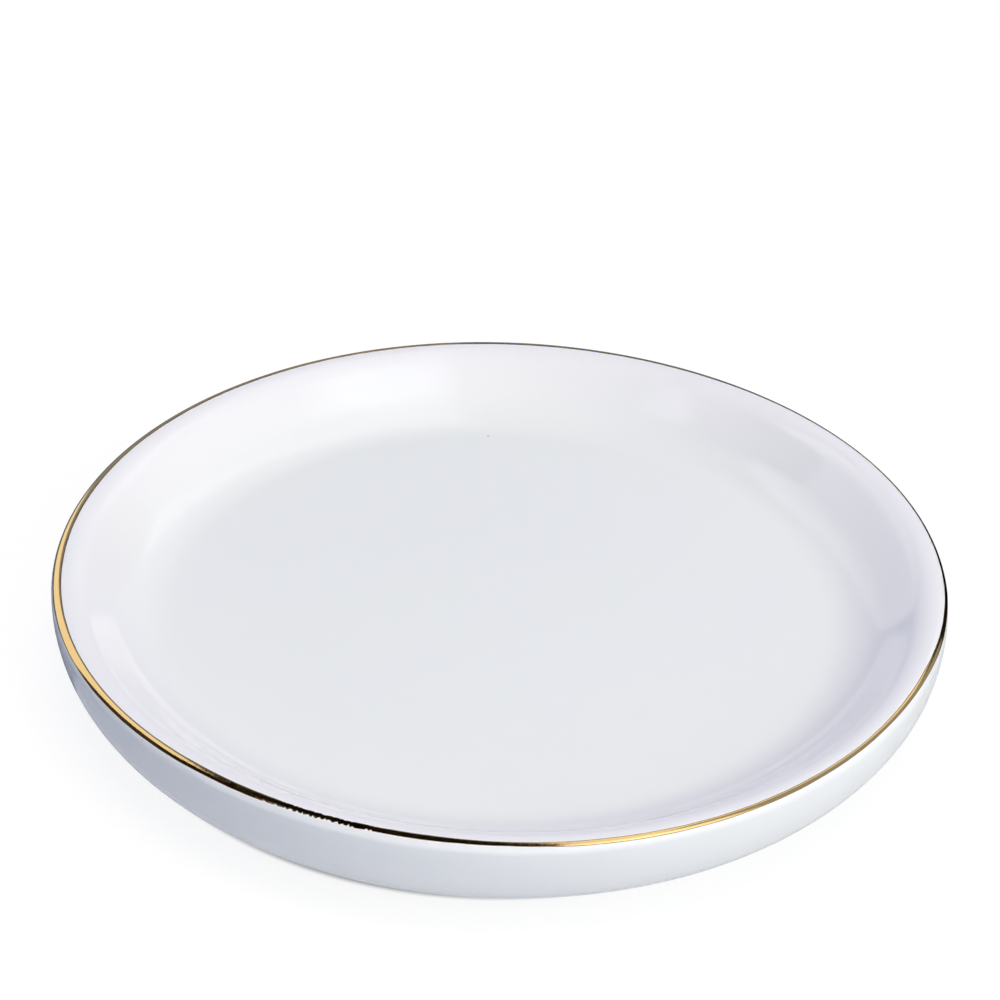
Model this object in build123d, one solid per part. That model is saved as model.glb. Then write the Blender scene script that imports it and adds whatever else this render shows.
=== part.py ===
from build123d import *
from math import radians, sin
import os

# Round porcelain ring dish with a gold line on its lip.
# Millimetres, +Z up. The origin is the middle of the circle on which the foot ring stands.
# Every piece is turned about Z from a half section, with radius along X and height along Z.

# Dish: sizes of the finished, glazed piece
rim_diameter = 100.0
heel_radius = 10.8  # outside rounding from the underside up into the wall
wall_upright = 0.2  # straight wall between the heel and the lip
lip_outer_radius = 1.1
lip_inner_radius = 4.5
lip_runs = 5  # short straight runs that make up the lip's outer rounding, under the gold
floor_thickness = 4.4
inside_draft = 50.0  # degrees by which the wall's inside leans out towards the lip
inside_run = 3.8  # straight wall between the lip's inner rounding and the cove

# Foot ring under the floor
foot_height = 0.7  # underside above the table, between the foot and the heel
recess_height = 2.6  # underside above the table, inside the foot ring
foot_setback = 2.75  # from the start of the heel in to the foot
foot_width = 2.7
foot_flank = 0.25  # by how much each side of the foot slopes
foot_chamfer = 0.15  # left by grinding the foot flat after the firing
foot_root_round = 0.5

# Fired coats
glaze_thickness = 0.25
bare_height = 0.3  # of the foot, wiped clean of glaze
gold_thickness = 0.06
gold_drop = 0.6  # how far below the lip's top the gold line ends outside; inside it ends at the top

overrun = 5.0  # by how much a cutting zone passes what it cuts

# Places that follow from the sizes
rim_radius = rim_diameter / 2
lip_middle = rim_radius - lip_outer_radius
lip_top = foot_height + heel_radius + wall_upright + lip_outer_radius
floor_top = recess_height + floor_thickness
floor_middle = recess_height + floor_thickness / 2
heel_start = rim_radius - heel_radius
foot_outer_radius = heel_start - foot_setback
foot_inner_radius = foot_outer_radius - foot_width
foot_middle = (foot_inner_radius + foot_outer_radius) / 2
outside = rim_radius + overrun
above = lip_top + overrun
below = -overrun


def foot_outline(inset):
    """Underside from the axis to the heel, with the foot ring standing out of it."""
    underside = foot_height + inset
    recess_ceiling = recess_height + inset
    root_inner = foot_inner_radius + inset
    root_outer = foot_outer_radius - inset
    ground_inner = root_inner + foot_flank
    ground_outer = root_outer - foot_flank
    corners = [
        ((0, recess_ceiling), 0),
        ((root_inner, recess_ceiling), foot_root_round + inset),
        ((ground_inner, foot_chamfer), 0),
        ((ground_inner + foot_chamfer, 0), 0),
        ((ground_outer - foot_chamfer, 0), 0),
        ((ground_outer, foot_chamfer), 0),
        ((root_outer, underside), foot_root_round + inset),
        ((heel_start, underside), 0),
    ]
    points = [point for point, radius in corners]
    radii = [radius for point, radius in corners[1:-1]]
    return FilletPolyline(*points, radius=radii)


def section(inset):
    """Half section of the dish, drawn in from its glazed surface by this much all round."""
    floor = floor_top - inset
    foot = foot_outline(inset)
    heel = JernArc(foot @ 1, (1, 0), heel_radius - inset, 90)
    wall = PolarLine(heel @ 1, wall_upright, direction=(0, 1))
    rounding = JernArc(wall @ 1, (0, 1), lip_outer_radius - inset, 90)
    lip = Polyline(*[rounding @ (run / lip_runs) for run in range(lip_runs + 1)])
    shoulder = JernArc(rounding @ 1, (-1, 0), lip_inner_radius - inset, 90 - inside_draft)
    inside = PolarLine(shoulder @ 1, inside_run, direction=shoulder % 1)
    cove_radius = ((inside @ 1).Y - floor) / (1 - sin(radians(inside_draft)))
    cove = JernArc(inside @ 1, inside % 1, cove_radius, inside_draft - 90)
    well = Polyline(cove @ 1, (0, floor), foot @ 0)
    return Plane.XZ * make_face([foot, heel, wall, lip, shoulder, inside, cove, well])


def zone(radius_from, radius_to, low, high):
    """Rectangle of the section between two radii and two heights."""
    width = radius_to - radius_from
    height = high - low
    middle = Location((radius_from + width / 2, low + height / 2))
    return Plane.XZ * middle * Rectangle(width, height)


def glaze_section():
    """Half section of the glass skin on every side of the porcelain, wiped off the foot's lowest part."""
    skin = section(0) - section(glaze_thickness)
    return skin - zone(0, outside, below, bare_height)


def recess():
    """Part of the section that the foot ring closes in, up to the middle of the floor."""
    return zone(0, foot_middle, below, floor_middle)


def turned(half_section):
    """Solid of revolution about Z."""
    return revolve(half_section, Axis.Z)


def make_porcelain_body():
    """The fired clay: floor, cove, wall, lip, heel and foot ring in one piece."""
    return turned(section(glaze_thickness))


def make_glaze_coat():
    """Glaze over the inside, the lip and the outside, down to the outer side of the foot ring."""
    return turned(glaze_section() - recess())


def make_foot_recess_glaze():
    """Glaze on the underside inside the foot ring, cut off from the rest by the bare foot."""
    return turned(glaze_section() & recess())


def make_gold_band():
    """Gold film over the outer shoulder of the glazed lip, from its top outwards."""
    film = section(-gold_thickness) - section(0)
    return turned(film & zone(lip_middle, outside, lip_top - gold_drop, above))


os.makedirs("parts", exist_ok=True)
export_step(make_porcelain_body(), "parts/porcelain_body.step")
export_step(make_glaze_coat(), "parts/glaze_coat.step")
export_step(make_foot_recess_glaze(), "parts/foot_recess_glaze.step")
export_step(make_gold_band(), "parts/gold_band.step")
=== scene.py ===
import math
import bmesh
import bpy
import numpy as np
from mathutils import Matrix, Vector


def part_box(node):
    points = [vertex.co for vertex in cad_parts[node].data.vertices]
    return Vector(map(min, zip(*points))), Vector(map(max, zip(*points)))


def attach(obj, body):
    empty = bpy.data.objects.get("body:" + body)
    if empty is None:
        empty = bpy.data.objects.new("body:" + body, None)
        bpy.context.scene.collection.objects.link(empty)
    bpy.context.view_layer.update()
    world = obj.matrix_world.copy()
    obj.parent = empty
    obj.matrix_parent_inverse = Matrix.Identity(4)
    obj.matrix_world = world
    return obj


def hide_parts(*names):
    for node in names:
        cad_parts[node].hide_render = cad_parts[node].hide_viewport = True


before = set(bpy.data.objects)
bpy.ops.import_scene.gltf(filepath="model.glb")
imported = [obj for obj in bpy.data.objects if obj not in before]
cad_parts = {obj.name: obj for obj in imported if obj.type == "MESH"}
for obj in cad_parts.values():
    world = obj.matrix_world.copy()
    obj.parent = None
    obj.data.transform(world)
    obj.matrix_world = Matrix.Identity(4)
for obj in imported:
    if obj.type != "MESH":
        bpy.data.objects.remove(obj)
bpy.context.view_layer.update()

# Lengths are written in millimetres and turned to metres when a mesh, a pattern or a lamp is made.
# Angles about Z start at +X and run anticlockwise, and the photograph is taken from -Y.
MM = 0.001


# Porcelain body
# The clay of the dish, jiggered on a plaster mould, its foot ring turned, fired white and hard.
# Only the foot ring's contact face is bare: the glaze is wiped off there and the face is ground flat.
rim_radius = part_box("glaze_coat")[1].x / MM
lip_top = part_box("glaze_coat")[1].z / MM
lip_radius = 1.1
lip_inner_radius = 4.5
wall_upright = 0.2
heel_radius = 10.8
inside_draft = 50.0  # degrees by which the inside leans out
inside_run = 3.8
foot_height = 0.7
recess_height = 2.6
floor_top = 7.0
foot_outer_radius = 36.45
foot_inner_radius = 33.75
foot_flank = 0.25
foot_chamfer = 0.15
foot_root_round = 0.5
beside_root = 2.0  # how far from the foot ring the flat of the underside begins
glaze_thickness = 0.25
bare_height = 0.3
lip_centre_radius = rim_radius - lip_radius
lip_centre_height = lip_top - lip_radius
heel_centre_radius = rim_radius - heel_radius
heel_centre_height = lip_centre_height - wall_upright

# How finely the surface is drawn: round the dish, then along each stretch of the half section
turn_segments = 384
floor_steps = 40
cove_steps = 32
slope_steps = 6
lip_inner_steps = 20
lip_outer_steps = 12
upright_steps = 2
heel_steps = 36
root_steps = 8
flank_steps = 3
clay_recess_steps = 6

# The rim went a little out of round in the fire. Each wave has its lobes round the rim, its size and the
# azimuth of one of its peaks. Where the peaks meet, the rim keeps its full radius.
warp_waves = [(3, 0.10, 52), (4, 0.09, 22)]
warp_most = sum(size for lobes, size, peak in warp_waves)
warp_from = 7.1


def warp(angle, height):
    """Change of radius at this angle and height, which is 0 or inwards. It is 0 down at the floor."""
    wave = sum(size * math.cos(lobes * (angle - math.radians(peak))) for lobes, size, peak in warp_waves)
    rise = np.clip((height - warp_from) / (lip_top - warp_from), 0, 1)
    return (wave - warp_most) * rise


def arc(centre_radius, centre_height, radius, from_angle, to_angle, steps):
    """Points of an arc in the dish's half section, as radius and height."""
    angles = np.radians(np.linspace(from_angle, to_angle, steps + 1))
    radii = centre_radius + radius * np.cos(angles)
    heights = centre_height + radius * np.sin(angles)
    return np.column_stack([radii, heights])


def line(start, end, steps):
    """Points of a straight stretch of the half section."""
    return np.linspace(start, end, steps + 1)


def rounded_corner(corner, before, after, radius, steps):
    """Points of a fillet at a corner between the points before and after it."""
    to_before = (np.array(before) - corner) / math.dist(before, corner)
    to_after = (np.array(after) - corner) / math.dist(after, corner)
    half = math.acos(float(to_before @ to_after)) / 2
    reach = radius / math.tan(half)
    middle = (to_before + to_after) / np.linalg.norm(to_before + to_after)
    centre = corner + middle * radius / math.sin(half)
    first = corner + to_before * reach - centre
    last = corner + to_after * reach - centre
    start = math.degrees(math.atan2(first[1], first[0]))
    turn = math.degrees(math.atan2(last[1], last[0])) - start
    turn = (turn + 180) % 360 - 180
    return arc(centre[0], centre[1], radius, start, start + turn, steps)


def upper_surface(inset):
    """Half section from the middle of the floor up the cove, over the lip and down to the heel's foot."""
    inner_centre = np.array([lip_centre_radius, lip_top - lip_inner_radius])
    inner_angle = math.radians(180 - inside_draft)
    outward = np.array([math.cos(inner_angle), math.sin(inner_angle)])
    downward = np.array([-math.sin(inner_angle), math.cos(inner_angle)])
    slope_top = inner_centre + outward * (lip_inner_radius - inset)
    slope_foot = slope_top + downward * inside_run
    floor = floor_top - inset
    side = rim_radius - inset
    cove_radius = (slope_foot[1] - floor) / (1 - math.sin(math.radians(inside_draft)))
    cove_centre = slope_foot + outward * cove_radius
    return np.vstack([
        line((0, floor), (cove_centre[0], floor), floor_steps)[:-1],
        arc(*cove_centre, cove_radius, -90, -inside_draft, cove_steps)[:-1],
        line(slope_foot, slope_top, slope_steps)[:-1],
        arc(*inner_centre, lip_inner_radius - inset, 180 - inside_draft, 90, lip_inner_steps)[:-1],
        arc(lip_centre_radius, lip_centre_height, lip_radius - inset, 90, 0, lip_outer_steps)[:-1],
        line((side, lip_centre_height), (side, heel_centre_height), upright_steps)[:-1],
        arc(heel_centre_radius, heel_centre_height, heel_radius - inset, 0, -90, heel_steps),
    ])


def foot_side(inset, root_radius, side, bottom):
    """Half section of one side of the foot ring, from the underside down to a height.

    side is 1 for the outer side and -1 for the inner one.
    """
    underside = (foot_height if side == 1 else recess_height) + inset
    root = (root_radius - side * inset, underside)
    ground = (root[0] - side * foot_flank, 0)
    beside = (root[0] + side * beside_root, underside)
    low = np.array(root) + (np.array(ground) - root) * (underside - bottom) / underside
    fillet = rounded_corner(np.array(root), beside, ground, foot_root_round + inset, root_steps)
    return np.vstack([fillet, line(fillet[-1], low, flank_steps)[1:]])


def turned(name, outline, segments, closed):
    """Mesh turned about Z, and which of its points its faces use.

    outline(angle) gives the half section at an angle. One that isn't closed starts and ends on the axis,
    in two poles.
    """
    angles = np.linspace(0, 2 * math.pi, segments, endpoint=False)
    sections = [np.array(outline(angle)) for angle in angles]
    points = len(sections[0])
    verts = []
    for angle, section in zip(angles, sections):
        radius = section[:, 0] + warp(angle, section[:, 1])
        x = radius * math.cos(angle)
        y = radius * math.sin(angle)
        verts.append(np.column_stack([x, y, section[:, 1]]))
    verts = np.vstack(verts) * MM
    last = points if closed else points - 1
    faces = []
    for turn in range(segments):
        here = turn * points
        there = (turn + 1) % segments * points
        for step in range(last):
            ahead = (step + 1) % points
            corners = [here + step, there + step, there + ahead, here + ahead]
            if not closed and step == 0:
                corners = [0, there + ahead, here + ahead]
            if not closed and ahead == points - 1:
                corners = [here + step, there + step, points - 1]
            faces.append(corners)
    mesh = bpy.data.meshes.new(name)
    mesh.from_pydata(verts.tolist(), [], faces)
    mesh.update()
    used = np.zeros(len(verts), bool)
    used[np.concatenate(faces)] = True
    return mesh, used


def piece_from(name, mesh, used, material, node):
    """Object with this mesh, less its unused points, in place of a node of the frame."""
    shape = bmesh.new()
    shape.from_mesh(mesh)
    shape.verts.ensure_lookup_table()
    spare = [vert for vert, kept in zip(shape.verts, used) if not kept]
    bmesh.ops.delete(shape, geom=spare, context="VERTS")
    bmesh.ops.recalc_face_normals(shape, faces=shape.faces)
    shape.to_mesh(mesh)
    shape.free()
    mesh.shade_smooth()
    mesh.materials.append(material)
    piece = bpy.data.objects.new(name, mesh)
    bpy.context.scene.collection.objects.link(piece)
    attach(piece, "root")
    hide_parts(node)


def srgb(code):
    """Linear colour of an sRGB hex code."""
    channels = [int(code[place:place + 2], 16) / 255 for place in (1, 3, 5)]
    linear = [c / 12.92 if c <= 0.04045 else ((c + 0.055) / 1.055) ** 2.4 for c in channels]
    return (*linear, 1.0)


def add(tree, kind, settings, links):
    """Adds a node with its settings and links, where a link fills a socket from another node's output.

    A setting whose name is in lower case is a property of the node. The others are sockets, by name, or by
    number where names repeat: a colour mix has its share at 0, its colours at 6 and 7 and its result at 2.
    """
    node = tree.nodes.new(kind)
    for name, value in settings.items():
        if isinstance(name, str) and name.islower():
            setattr(node, name, value)
    for name, value in settings.items():
        if not (isinstance(name, str) and name.islower()):
            node.inputs[name].default_value = value
    for name, source in links.items():
        tree.links.new(source, node.inputs[name])
    return node


def new_material(name):
    """Material with an empty node tree."""
    material = bpy.data.materials.new(name)
    material.use_nodes = True
    material.node_tree.nodes.clear()
    return material


def body_outline(angle):
    """Half section of the clay alone."""
    underside = recess_height + glaze_thickness
    ground_reach = glaze_thickness + foot_flank + foot_chamfer
    lower = [
        foot_side(glaze_thickness, foot_outer_radius, 1, foot_chamfer),
        [(foot_outer_radius - ground_reach, 0)],
        [(foot_inner_radius + ground_reach, 0)],
        foot_side(glaze_thickness, foot_inner_radius, -1, foot_chamfer)[::-1],
        line((foot_inner_radius - beside_root, underside), (0, underside), clay_recess_steps),
    ]
    return np.vstack([upper_surface(glaze_thickness), *lower])


# Bare porcelain, biscuit-white and dry to the eye: a fine sanded tooth and no shine. The tooth is drawn
# coarser than real sanding grit. The fire leaves a faint warm flash next to the edge of the glaze.
tooth_grain = 0.2
tooth_depth = 0.02
blotch_size = 6
flash_from = 0.15
flash_most = 0.55
bare_porcelain = new_material("bare_porcelain")
tree = bare_porcelain.node_tree
place = add(tree, "ShaderNodeTexCoord", {}, {}).outputs["Object"]
height = add(tree, "ShaderNodeSeparateXYZ", {}, {0: place}).outputs["Z"]
flash = add(tree, "ShaderNodeMapRange",
            {"From Min": flash_from * MM, "From Max": bare_height * MM, "To Min": 0.0, "To Max": flash_most},
            {"Value": height})
sanding = add(tree, "ShaderNodeTexNoise", {"Scale": 1 / (tooth_grain * MM), "Detail": 3.0}, {"Vector": place})
blotch = add(tree, "ShaderNodeTexNoise", {"Scale": 1 / (blotch_size * MM), "Detail": 2.0}, {"Vector": place})
warm = add(tree, "ShaderNodeMath", {"operation": "MULTIPLY"}, {0: flash.outputs[0], 1: blotch.outputs[0]})
clay = add(tree, "ShaderNodeMix", {"data_type": "RGBA", 6: srgb("#EDE9E1"), 7: srgb("#C9A987")},
           {0: warm.outputs[0]})
tooth = add(tree, "ShaderNodeBump", {"Strength": 0.6, "Distance": tooth_depth * MM},
            {"Height": sanding.outputs[0]})
dry = add(tree, "ShaderNodeMapRange", {"From Min": 0.3, "From Max": 0.7, "To Min": 0.62, "To Max": 0.85},
          {"Value": sanding.outputs[0]})
shader = add(tree, "ShaderNodeBsdfPrincipled", {"IOR": 1.5},
             {"Base Color": clay.outputs[2], "Roughness": dry.outputs[0], "Normal": tooth.outputs[0]})
add(tree, "ShaderNodeOutputMaterial", {}, {0: shader.outputs[0]})

mesh, used = turned("porcelain_body_turned", body_outline, turn_segments, False)
piece_from("porcelain_dish", mesh, used, bare_porcelain, "porcelain_body")


# Glaze coat
# A white glass melted over the clay, inside and out, into which the dish was dipped whole. It runs over the
# lip in one skin and ends in a soft edge above the wiped foot.
glaze_edge_lift = 0.05


def glaze_outline(angle):
    """Half section of the glass skin from the middle of the floor round to the bare foot and back."""
    shown = [
        upper_surface(0),
        foot_side(0, foot_outer_radius, 1, bare_height + glaze_edge_lift),
    ]
    hidden = [
        upper_surface(glaze_thickness),
        foot_side(glaze_thickness, foot_outer_radius, 1, bare_height),
    ]
    return np.vstack([*shown, np.vstack(hidden)[::-1]])


# White glossy glaze: near neutral white, soft ripples, a fine orange-peel skin and a few small grey specks.
# Its colour also
# holds painted shade and light: a cooler, greyer white on the level floor and a paler, faintly violet white
# up the wall.
painted_light_from = 36
painted_light_to = 46
cloud_size = 18
cloud_tint = 0.25
speck_spacing = 16
speck_edge = 0.012  # distances from a speck's middle, as shares of the spacing
speck_heart = 0.006
ripple_size = 7
ripple_depth = 0.03
peel_size = 0.9
peel_depth = 0.0012
white_glaze = new_material("white_glaze")
tree = white_glaze.node_tree
place = add(tree, "ShaderNodeTexCoord", {}, {}).outputs["Object"]
axes = add(tree, "ShaderNodeSeparateXYZ", {}, {0: place})
level = add(tree, "ShaderNodeCombineXYZ", {}, {0: axes.outputs[0], 1: axes.outputs[1]})
out = add(tree, "ShaderNodeVectorMath", {"operation": "LENGTH"}, {0: level.outputs[0]}).outputs["Value"]
wall = add(tree, "ShaderNodeMapRange",
           {"interpolation_type": "SMOOTHSTEP",
            "From Min": painted_light_from * MM, "From Max": painted_light_to * MM},
           {"Value": out})
clouds = add(tree, "ShaderNodeTexNoise", {"Scale": 1 / (cloud_size * MM), "Detail": 2.0}, {"Vector": place})
# Painted shade on the floor turning to painted light up the wall, by distance from the middle
painted_wall_light = add(tree, "ShaderNodeMix", {"data_type": "RGBA", 6: srgb("#EEF1F2"), 7: srgb("#F2F1F6")},
           {0: wall.outputs[0]})
cloudy = add(tree, "ShaderNodeMapRange",
             {"From Min": 0.35, "From Max": 0.65, "To Min": 0.0, "To Max": cloud_tint},
             {"Value": clouds.outputs[0]})
body = add(tree, "ShaderNodeMix", {"data_type": "RGBA", 7: srgb("#EBEEF4")},
           {0: cloudy.outputs[0], 6: painted_wall_light.outputs[2]})
grains = add(tree, "ShaderNodeTexVoronoi", {"Scale": 1 / (speck_spacing * MM)}, {"Vector": place})
speck = add(tree, "ShaderNodeMapRange", {"From Min": speck_edge, "From Max": speck_heart},
            {"Value": grains.outputs["Distance"]})
seen = add(tree, "ShaderNodeMix", {"data_type": "RGBA", 7: srgb("#BDBCBC")},
           {0: speck.outputs[0], 6: body.outputs[2]})
ripple = add(tree, "ShaderNodeTexNoise", {"Scale": 1 / (ripple_size * MM), "Detail": 1.0}, {"Vector": place})
peel = add(tree, "ShaderNodeTexNoise", {"Scale": 1 / (peel_size * MM), "Detail": 1.0}, {"Vector": place})
wave = add(tree, "ShaderNodeBump", {"Strength": 1.0, "Distance": ripple_depth * MM},
           {"Height": ripple.outputs[0]})
skin = add(tree, "ShaderNodeBump", {"Strength": 1.0, "Distance": peel_depth * MM},
           {"Height": peel.outputs[0], "Normal": wave.outputs[0]})
shine = add(tree, "ShaderNodeMapRange", {"From Min": 0.3, "From Max": 0.7, "To Min": 0.05, "To Max": 0.1},
            {"Value": clouds.outputs[0]})
shader = add(tree, "ShaderNodeBsdfPrincipled", {"IOR": 1.52},
             {"Base Color": seen.outputs[2], "Roughness": shine.outputs[0], "Normal": skin.outputs[0]})
add(tree, "ShaderNodeOutputMaterial", {}, {0: shader.outputs[0]})

mesh, used = turned("glaze_coat_turned", glaze_outline, turn_segments, False)
piece_from("glaze_over_dish", mesh, used, white_glaze, "glaze_coat")


# Glaze in the foot recess
# The same glass on the underside inside the foot ring, from the middle out over the ring's root. The wiped
# foot cuts it off from the rest.
recess_steps = 24


def recess_outline(angle):
    """Half section of the glass under the dish, from its middle out to the bare foot and back."""
    underside = recess_height
    clay_underside = recess_height + glaze_thickness
    flat_end = foot_inner_radius - beside_root
    shown = [
        line((0, underside), (flat_end, underside), recess_steps),
        foot_side(0, foot_inner_radius, -1, bare_height + glaze_edge_lift),
    ]
    hidden = [
        line((0, clay_underside), (flat_end, clay_underside), recess_steps),
        foot_side(glaze_thickness, foot_inner_radius, -1, bare_height),
    ]
    return np.vstack([*shown, np.vstack(hidden)[::-1]])


mesh, used = turned("foot_recess_turned", recess_outline, turn_segments, False)
piece_from("glaze_under_dish", mesh, used, white_glaze, "foot_recess_glaze")


# Gold line
# Liquid bright gold, brushed by hand over the glazed lip on a banding wheel and fired on last. Its edges
# wander with the brush, it fires thin and brown at both edges, and it is rubbed at the left front.
gold_segments = 2048
gold_steps = 16
gold_film = 0.035
gold_edge_film = 0.003
gold_key = 0.04  # how far the film's under side reaches into the glaze
gold_least = 0.08  # the line is never narrower than this

# Where the line's two edges lie, by azimuth in degrees: the angles of the lip's rounding at which it starts
# inside and ends outside, where 90 is the lip's top and 0 its outermost circle.
gold_edges = [
    (0, 48, 12),
    (15, 57, 14),
    (30, 66, 16),
    (45, 76, 20),
    (60, 87, 24),
    (90, 94, 28),
    (120, 92, 30),
    (150, 90, 30),
    (180, 93, 28),
    (200, 86, 33),
    (215, 84, 38),
    (225, 88, 43),
    (232, 92, 47),
    (240, 93, 50),
    (250, 93, 55),
    (262, 92, 57),
    (272, 84, 57),
    (280, 80, 49),
    (285, 80, 47),
    (300, 78, 46),
    (315, 78, 50),
    (330, 77, 50),
    (340, 74, 40),
    (350, 58, 22),
    (360, 48, 12),
]
edge_azimuths, edge_starts, edge_ends = zip(*gold_edges)

# The brush's unsteadiness is many waves round the rim. In the rubbed stretch, from one azimuth to another,
# the edges are rougher, and nicks bite into the line from inside and from outside.
brush_waves = 40
brush_first_wave = 5
brush_tightness = 3
brush_swing = 3
edge_rough = 0.02
worn_rough = 0.03
worn_from = 240
worn_to = 258
worn_onset = 2.5
nick_depths = (0.12, 0.24)
wander = np.random.default_rng(7)
wander_phase = wander.uniform(0, 2 * math.pi, (2, brush_waves))
wander_size = wander.normal(0, 1, (2, brush_waves))
nicks = wander.uniform(0, 1, (2, gold_segments))


def brush_wander(azimuth, edge):
    """Unsteadiness of the brush at one edge of the line, about 1 at most."""
    counts = np.arange(brush_first_wave, brush_first_wave + brush_waves)
    swing = np.cos(np.radians(azimuth) * counts * brush_tightness + wander_phase[edge])
    return float(np.sum(wander_size[edge] * swing / np.sqrt(counts)) / brush_swing)


def worn_share(azimuth):
    """1 where the line is rubbed, 0 elsewhere."""
    middle = (worn_from + worn_to) / 2
    half = (worn_to - worn_from) / 2
    return max(0.0, min(1.0, worn_onset * (1 - abs(azimuth - middle) / half)))


def over_lip(reach, lift):
    """Point at a distance from the lip's top along the glaze, positive outwards, lifted off it."""
    radius = lip_radius if reach > 0 else lip_inner_radius
    angle = math.pi / 2 - reach / radius
    across = lip_centre_radius + (radius + lift) * math.cos(angle)
    height = lip_top - radius + (radius + lift) * math.sin(angle)
    return across, height


def gold_reaches(angle):
    """Where the line starts and ends at this angle, in millimetres over the lip's top."""
    azimuth = math.degrees(angle) % 360
    inside = lip_radius * math.radians(90 - np.interp(azimuth, edge_azimuths, edge_starts))
    outside = lip_radius * math.radians(90 - np.interp(azimuth, edge_azimuths, edge_ends))
    worn = worn_share(azimuth)
    rough = edge_rough + worn_rough * worn
    turn = round(azimuth / 360 * gold_segments) % gold_segments
    bites = [depth * worn * max(0.0, 2 * nicks[edge][turn] - 1) for edge, depth in enumerate(nick_depths)]
    start = inside + rough * brush_wander(azimuth, 0) + bites[0]
    end = outside + rough * brush_wander(azimuth, 1) - bites[1]
    return start, max(end, start + gold_least)


def gold_outline(angle):
    """Closed half section of the film: its domed upper side, then its under side keyed into the glaze."""
    start, end = gold_reaches(angle)
    shares = np.linspace(0, 1, gold_steps + 1)
    upper = []
    lower = []
    for share in shares:
        reach = start + (end - start) * share
        dome = math.sqrt(max(0.0, 1 - (2 * share - 1) ** 4))
        upper.append(over_lip(reach, gold_edge_film + gold_film * dome))
        lower.append(over_lip(reach, -gold_key))
    return np.array(upper + lower[::-1])


# Bright gold, fired to a mirror with a fine unevenness. Thin gold at the edges lets the glaze through and
# goes brown, and in the rubbed stretch the film is dark and broken by pale nicks.
fine_size = 0.35
broad_size = 3
unevenness_depth = 0.004
bright_gold = new_material("bright_gold")
tree = bright_gold.node_tree
place = add(tree, "ShaderNodeTexCoord", {}, {}).outputs["Object"]
film = add(tree, "ShaderNodeAttribute", {"attribute_name": "film"}, {}).outputs["Fac"]
worn = add(tree, "ShaderNodeAttribute", {"attribute_name": "worn"}, {}).outputs["Fac"]
fine = add(tree, "ShaderNodeTexNoise", {"Scale": 1 / (fine_size * MM), "Detail": 3.0}, {"Vector": place})
broad = add(tree, "ShaderNodeTexNoise", {"Scale": 1 / (broad_size * MM), "Detail": 2.0}, {"Vector": place})
thick = add(tree, "ShaderNodeMath", {"operation": "MULTIPLY_ADD", 1: 0.5}, {0: broad.outputs[0], 2: film})
cover = add(tree, "ShaderNodeMapRange", {"From Min": 0.3, "From Max": 0.75}, {"Value": thick.outputs[0]})
metal = add(tree, "ShaderNodeMix", {"data_type": "RGBA", 6: srgb("#946B3E"), 7: srgb("#F2CE8E")},
            {0: cover.outputs[0]})
rubbed = add(tree, "ShaderNodeMath", {"operation": "MULTIPLY"}, {0: worn, 1: fine.outputs[0]})
dark = add(tree, "ShaderNodeMapRange", {"From Min": 0.25, "From Max": 0.6, "To Max": 0.8},
           {"Value": rubbed.outputs[0]})
colour = add(tree, "ShaderNodeMix", {"data_type": "RGBA", 7: srgb("#3A2A20")},
             {0: dark.outputs[0], 6: metal.outputs[2]})
rough = add(tree, "ShaderNodeMapRange", {"From Min": 0.3, "From Max": 0.7, "To Min": 0.06, "To Max": 0.14},
            {"Value": fine.outputs[0]})
relief = add(tree, "ShaderNodeBump", {"Strength": 1.0, "Distance": unevenness_depth * MM},
             {"Height": fine.outputs[0]})
shader = add(tree, "ShaderNodeBsdfPrincipled", {"Metallic": 1.0},
             {"Base Color": colour.outputs[2], "Roughness": rough.outputs[0], "Normal": relief.outputs[0]})
add(tree, "ShaderNodeOutputMaterial", {}, {0: shader.outputs[0]})

# The mesh carries how thick the film is, from the line's middle to its edges, and where it is rubbed.
mesh, used = turned("gold_line_turned", gold_outline, gold_segments, True)
edge_share = np.abs(2 * np.linspace(0, 1, gold_steps + 1) - 1)
thickness = 1 - edge_share ** 2
across = np.concatenate([thickness, thickness[::-1]])
worn_round = [worn_share(turn * 360 / gold_segments) for turn in range(gold_segments)]
film_values = np.tile(across, gold_segments)
worn_values = np.repeat(worn_round, len(across))
for attribute_name, values in (("film", film_values), ("worn", worn_values)):
    attribute = mesh.attributes.new(attribute_name, "FLOAT", "POINT")
    attribute.data.foreach_set("value", values.astype(np.float32))
piece_from("gold_line", mesh, used, bright_gold, "gold_band")


# Studio floor
# A plain pale sweep. It keeps the dish's soft shadow near the dish and fades to plain white further off.
# It glows like lit card, and sends more light up at the dish's left. Its glow is dimmed in a thin ring under
# the heel, centred a little left of the dish's middle: a painted contact shadow, which the heel also mirrors
# as a dark bottom edge.
floor_reach = 3.0
under_dish = 41.5
beside_dish = 42.8
painted_shadow_shift = 1.6
painted_shadow_glow = 0.1
glow_beside = 0.89
shadow_near = 150
shadow_far = 330
bounce_from = -80
bounce_to = 40
bounce_left = 0.85
bounce_right = 0.72
floor_mesh = bpy.data.meshes.new("studio_floor")
corners = [(-1, -1), (1, -1), (1, 1), (-1, 1)]
floor_mesh.from_pydata([(x * floor_reach, y * floor_reach, 0) for x, y in corners], [], [(0, 1, 2, 3)])
floor = bpy.data.objects.new("studio_floor", floor_mesh)
bpy.context.scene.collection.objects.link(floor)


def plainly_seen(tree):
    """1 for what the eye, gloss or glass sees, and 0 for the light that falls on the dish."""
    rays = add(tree, "ShaderNodeLightPath", {}, {}).outputs
    eye_or_gloss = add(tree, "ShaderNodeMath", {"operation": "ADD"},
                       {0: rays["Is Camera Ray"], 1: rays["Is Glossy Ray"]})
    with_glass = add(tree, "ShaderNodeMath", {"operation": "ADD", "use_clamp": True},
                     {0: eye_or_gloss.outputs[0], 1: rays["Is Transmission Ray"]})
    return with_glass.outputs[0]


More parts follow.
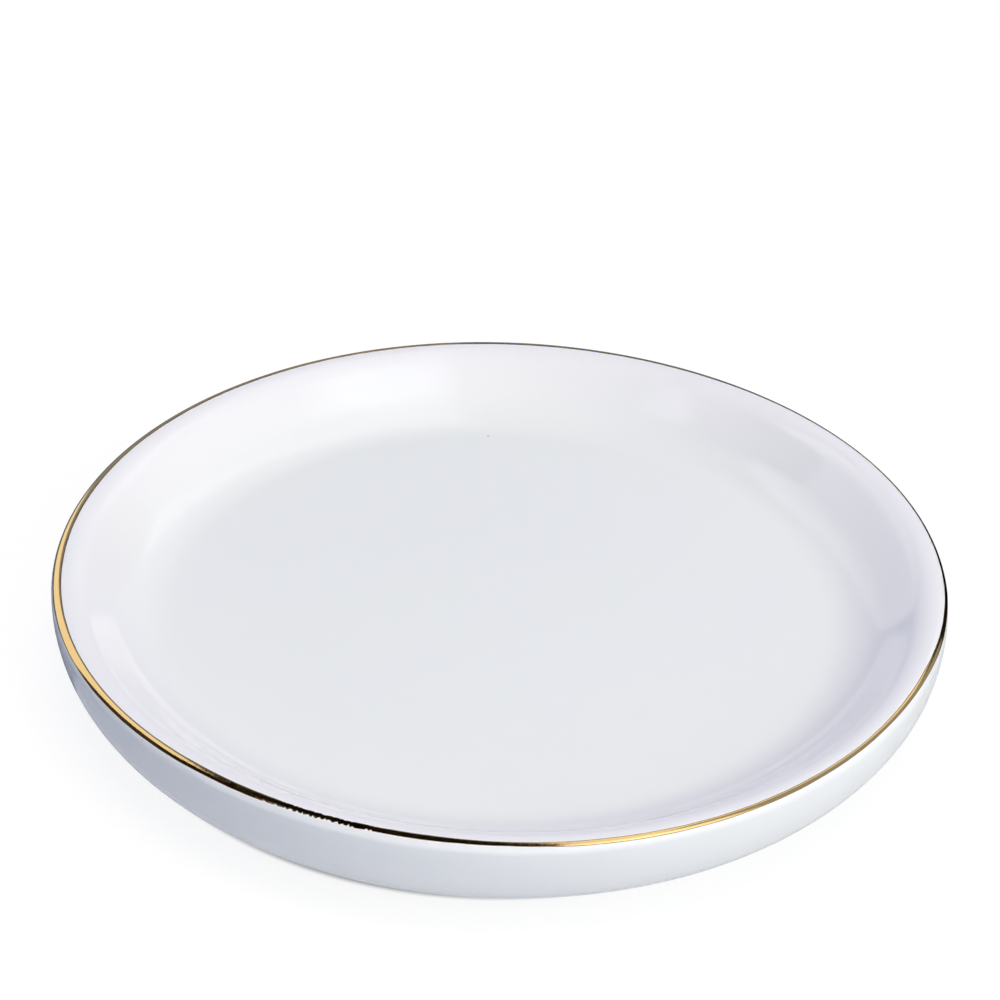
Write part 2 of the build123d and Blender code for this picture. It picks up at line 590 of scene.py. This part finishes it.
# White card. Its own white is seen by the eye and in gloss and glass, while it lights the dish as pale card.
white_card = new_material("white_card")
tree = white_card.node_tree
place = add(tree, "ShaderNodeTexCoord", {}, {}).outputs["Object"]
off = add(tree, "ShaderNodeVectorMath", {"operation": "LENGTH"}, {0: place}).outputs["Value"]
near = add(tree, "ShaderNodeMapRange",
           {"interpolation_type": "SMOOTHSTEP", "From Min": shadow_far * MM, "From Max": shadow_near * MM},
           {"Value": off})
# Painted contact shadow: the glow drops to its least in a thin ring under the heel, whose middle is moved to
# the left
shifted = add(tree, "ShaderNodeVectorMath", {"operation": "ADD", 1: (painted_shadow_shift * MM, 0, 0)}, {0: place})
under = add(tree, "ShaderNodeVectorMath", {"operation": "LENGTH"}, {0: shifted.outputs[0]}).outputs["Value"]
beside = add(tree, "ShaderNodeMapRange",
             {"interpolation_type": "SMOOTHSTEP", "From Min": under_dish * MM, "From Max": beside_dish * MM,
              "To Min": painted_shadow_glow, "To Max": glow_beside},
             {"Value": under})
side = add(tree, "ShaderNodeSeparateXYZ", {}, {0: place}).outputs["X"]
pale = add(tree, "ShaderNodeMapRange",
           {"From Min": bounce_from * MM, "From Max": bounce_to * MM,
            "To Min": bounce_left, "To Max": bounce_right},
           {"Value": side})
bounce = add(tree, "ShaderNodeBsdfDiffuse", {}, {"Color": pale.outputs[0]})
card = add(tree, "ShaderNodeBsdfDiffuse", {"Color": srgb("#6A6A6C")}, {})
glow = add(tree, "ShaderNodeEmission", {"Color": srgb("#FFFFFF")}, {"Strength": beside.outputs[0]})
plain = add(tree, "ShaderNodeEmission", {"Color": srgb("#FFFFFF"), "Strength": 1.0}, {})
lit = add(tree, "ShaderNodeAddShader", {}, {0: card.outputs[0], 1: glow.outputs[0]})
shown = add(tree, "ShaderNodeMixShader", {}, {0: near.outputs[0], 1: plain.outputs[0], 2: lit.outputs[0]})
either = add(tree, "ShaderNodeMixShader", {},
             {0: plainly_seen(tree), 1: bounce.outputs[0], 2: shown.outputs[0]})
add(tree, "ShaderNodeOutputMaterial", {}, {0: either.outputs[0]})
floor_mesh.materials.append(white_card)


# Studio light
# Three soft boxes, one above the other, make one tall key light at the right front. A large box overhead,
# others at the back and the back left and a low one in front lift the shadows.
lamp_distance = 650


def facing(direction, along):
    """Rotation of a panel that faces the dish from a direction, with its long side along a vector."""
    away = Vector(direction).normalized()
    across = Vector(along).cross(away).normalized()
    return Matrix((across, away.cross(across), away)).transposed()


def towards(azimuth, elevation):
    """Direction from the dish, in degrees round and above the table."""
    level = math.cos(math.radians(elevation))
    turn = math.radians(azimuth)
    return Vector((level * math.cos(turn), level * math.sin(turn), math.sin(math.radians(elevation))))


def soft_box(name, direction, across_size, upright_size, power, colour, in_gloss):
    """Rectangular lamp in a direction from the dish and aimed at it, which gloss may or may not show."""
    lamp = bpy.data.lights.new(name, "AREA")
    lamp.shape = "RECTANGLE"
    lamp.size = across_size * MM
    lamp.size_y = upright_size * MM
    lamp.energy = power
    lamp.color = srgb(colour)[:3]
    holder = bpy.data.objects.new(name, lamp)
    place = Matrix.Translation(direction * lamp_distance * MM)
    holder.matrix_world = place @ facing(direction, (0, 0, 1)).to_4x4()
    holder.visible_glossy = in_gloss
    bpy.context.scene.collection.objects.link(holder)


soft_box("key_low_box", towards(313, 15), 750, 230, 0.96, "#F7FFF7", False)
soft_box("key_mid_box", towards(316, 35), 565, 230, 1.67, "#FFF9E1", False)
soft_box("key_high_box", towards(320, 57), 385, 290, 0.25, "#FFFFFF", True)
soft_box("top_box", towards(300, 85), 500, 400, 2.75, "#FFF2E7", False)
soft_box("back_box", towards(90, 20), 500, 400, 0.75, "#F9E6FF", False)
soft_box("window_box", towards(130, 20), 600, 500, 0.38, "#E1E0FF", False)
soft_box("front_box", towards(270, 12), 600, 300, 0.25, "#C7D2FF", False)


# Room in the gloss
# Cards that glow with their own colours and that only the glaze and the gold mirror, so that their colours
# are painted
# light and shade of the room: a dark ceiling with one lamp, a pale wall at the back and one at the right with
# a dark corner between them, a dark wall at the left and the table round the dish.
room_reach = 800
room_top = 1100
corner_top = 480
right_wall_top = 1900
left_wall_top = 900
ceiling = 600
lamp_drop = 10
table_reach = 760
table_lift = 0.2
shade_left = -60
shade_right = 40


def room_card(name, corners, colour, right_colour=None):
    """Surface of the room that glows with its colour, painted light or shade, seen in gloss alone. Its colour
    may run to another towards the right.
    """
    places = [tuple(place * MM for place in corner) for corner in corners]
    card_mesh = bpy.data.meshes.new(name)
    card_mesh.from_pydata(places, [], [range(len(places))])
    card = bpy.data.objects.new(name, card_mesh)
    bpy.context.scene.collection.objects.link(card)
    card.visible_camera = False
    card.visible_diffuse = False
    card.visible_shadow = False
    card.visible_transmission = False
    card_glow = new_material(name)
    tree = card_glow.node_tree
    # The card's colour is painted light or shade, glowing the same whatever the lamps do
    face = add(tree, "ShaderNodeEmission", {"Color": srgb(colour), "Strength": 1.0}, {})
    if right_colour:
        place = add(tree, "ShaderNodeTexCoord", {}, {}).outputs["Object"]
        side = add(tree, "ShaderNodeSeparateXYZ", {}, {0: place}).outputs["X"]
        share = add(tree, "ShaderNodeMapRange", {"From Min": shade_left * MM, "From Max": shade_right * MM},
                    {"Value": side})
        run = add(tree, "ShaderNodeMix", {"data_type": "RGBA", 6: srgb(colour), 7: srgb(right_colour)},
                  {0: share.outputs[0]})
        tree.links.new(run.outputs[2], face.inputs["Color"])
    add(tree, "ShaderNodeOutputMaterial", {}, {0: face.outputs[0]})
    card_mesh.materials.append(card_glow)


def wall_corners(from_azimuth, to_azimuth, low, high):
    """Corners of an upright wall of the room between two directions from the dish."""
    start = towards(from_azimuth, 0) * room_reach
    end = towards(to_azimuth, 0) * room_reach
    return [(*start[:2], low), (*end[:2], low), (*end[:2], high), (*start[:2], high)]


ceiling_edge = [
    (224, -900),
    (-30, 577),
    (-165, 577),
    (-206, 421),
    (-325, 187),
    (-542, 135),
    (-1500, 135),
    (-1500, -900),
]
lamp_corners = [(192, 300), (212, 300), (210, 410), (194, 410)]
lamp_edge = [towards(azimuth, 0) * reach for azimuth, reach in lamp_corners]
room_card("ceiling_card", [(*corner, ceiling) for corner in ceiling_edge], "#141212")
room_card("ceiling_lamp", [(*corner[:2], ceiling - lamp_drop) for corner in lamp_edge], "#FFFFFF")
room_card("back_card", wall_corners(116, 61, 0, room_top), "#8A95AD")
room_card("back_right_card", wall_corners(61, 40, 0, corner_top), "#0E0E10")
room_card("right_card", wall_corners(40, -20, 0, right_wall_top), "#9AA2B0")
room_card("left_card", wall_corners(200, 157, 0, left_wall_top), "#3A3A3C")

# The table's pale front half and its darker back half meet in a line that bends under the dish. Both are
# painted: the back half's painted shade darkens to near black towards the right, and the front half's painted
# light grows paler to the right.
table_split = [(-table_reach, -10), (0, -10), (70, 25), (table_reach, 25)]
back_corners = [(table_reach, table_reach), (-table_reach, table_reach)]
front_corners = [(-table_reach, -table_reach), (table_reach, -table_reach)]
table_back = [(*corner, table_lift) for corner in table_split + back_corners]
table_front = [(*corner, table_lift) for corner in table_split[::-1] + front_corners]
room_card("table_back_card", table_back, "#66707C", "#0E0E10")
room_card("table_front_card", table_front, "#AEB6C2", "#D6D9DE")

# White beyond the floor, for the eye, gloss and glass, and a faint blue fill for everything else
fill_strength = 0.18
world = bpy.data.worlds.new("white_room")
bpy.context.scene.world = world
world.use_nodes = True
tree = world.node_tree
tree.nodes.clear()
fill = add(tree, "ShaderNodeBackground", {"Color": srgb("#59BCFF"), "Strength": fill_strength}, {})
white = add(tree, "ShaderNodeBackground", {"Color": srgb("#FFFFFF"), "Strength": 1.0}, {})
either = add(tree, "ShaderNodeMixShader", {},
             {0: plainly_seen(tree), 1: fill.outputs[0], 2: white.outputs[0]})
add(tree, "ShaderNodeOutputWorld", {}, {0: either.outputs[0]})


# Camera
# It stands where the photograph was taken from, fitted to the rim's ellipse, and is tilted a little to one
# side.
view_elevation = math.radians(34.283)
view_distance = 445.77
aim_left = -0.436
aim_above_rim = 9.252
view_roll = math.radians(1.92)
eye_back = view_distance * math.cos(view_elevation)
eye_height = lip_top + view_distance * math.sin(view_elevation)
eye = Vector((0, -eye_back, eye_height))
aim = Vector((aim_left, 0, lip_top + aim_above_rim))
back = (eye - aim).normalized()
level_right = Vector((0, 0, 1)).cross(back).normalized()
level_up = back.cross(level_right)
right = level_right * math.cos(view_roll) + level_up * math.sin(view_roll)
up = level_up * math.cos(view_roll) - level_right * math.sin(view_roll)
camera_data = bpy.data.cameras.new("photo_camera")
camera_data.sensor_width = 36
camera_data.lens = 144
camera_data.clip_start = 0.01
camera = bpy.data.objects.new("photo_camera", camera_data)
bpy.context.scene.collection.objects.link(camera)
camera.matrix_world = Matrix.Translation(eye * MM) @ Matrix((right, up, back)).transposed().to_4x4()
bpy.context.scene.camera = camera
bpy.context.scene.view_settings.view_transform = "Standard"
